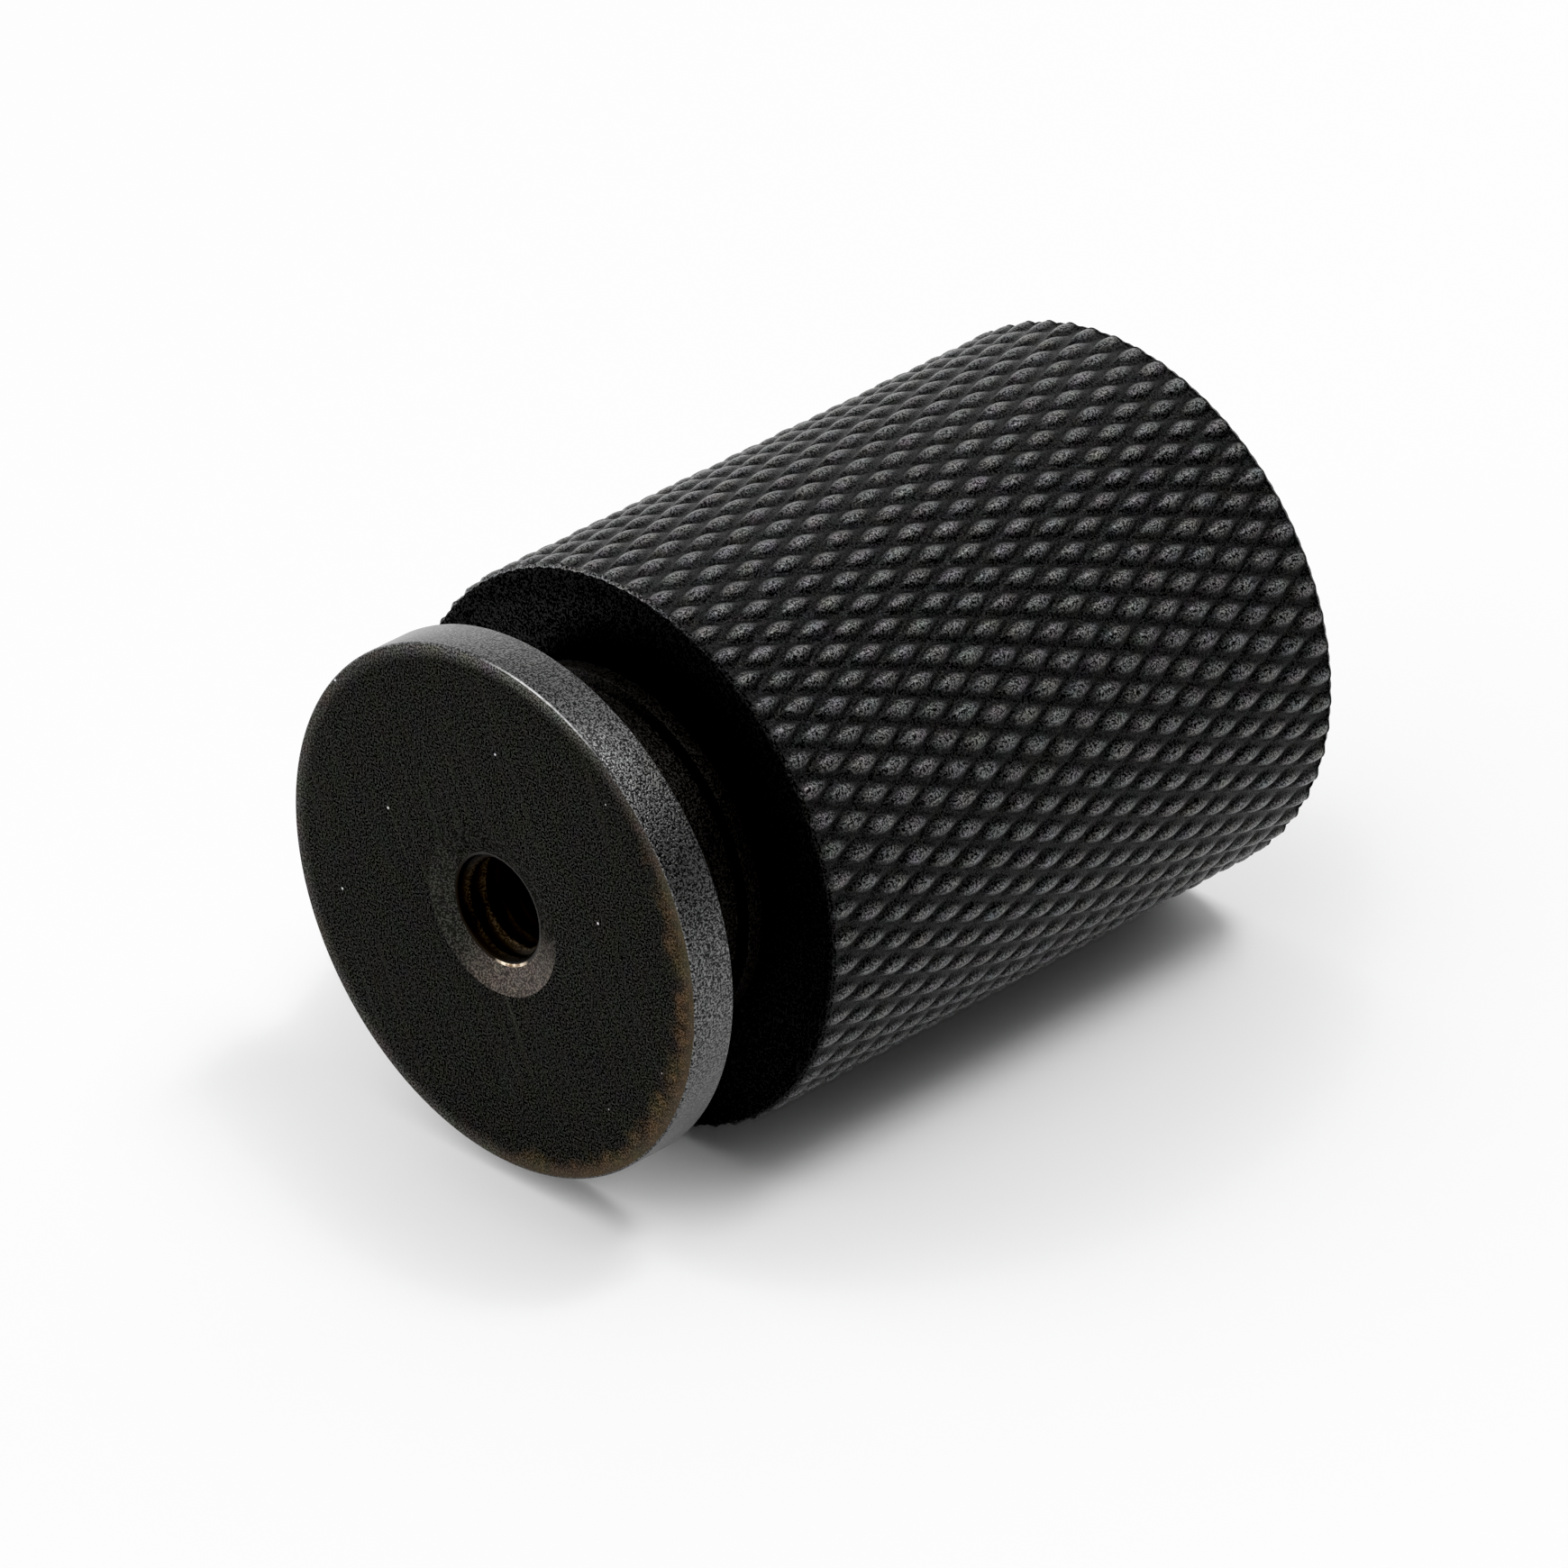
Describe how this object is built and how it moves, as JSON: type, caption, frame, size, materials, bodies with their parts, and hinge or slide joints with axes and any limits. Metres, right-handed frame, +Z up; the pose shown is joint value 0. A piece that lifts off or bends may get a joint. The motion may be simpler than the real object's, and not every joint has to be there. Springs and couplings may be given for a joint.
{
  "type": "cabinet knob",
  "caption": "Knurled cylindrical cabinet knob with a round base, a finger groove behind the grip and a blind tapped hole for its fixing screw.",
  "frame": {"origin": "centre of the mounting face, where the screw's axis meets the door", "axes": "+Y out of the mounting face into the door, so the grip stands out along -Y; +Z up on a vertical door or drawer front"},
  "size_m": [0.0212, 0.0315, 0.0212],
  "materials": {
    "blackened_brass": "satin, chemically blackened, with bronze showing at the worn base rim and in the screw hole"
  },
  "bodies": {
    "root": {"knob": "blackened_brass"}
  },
  "joints": []
}
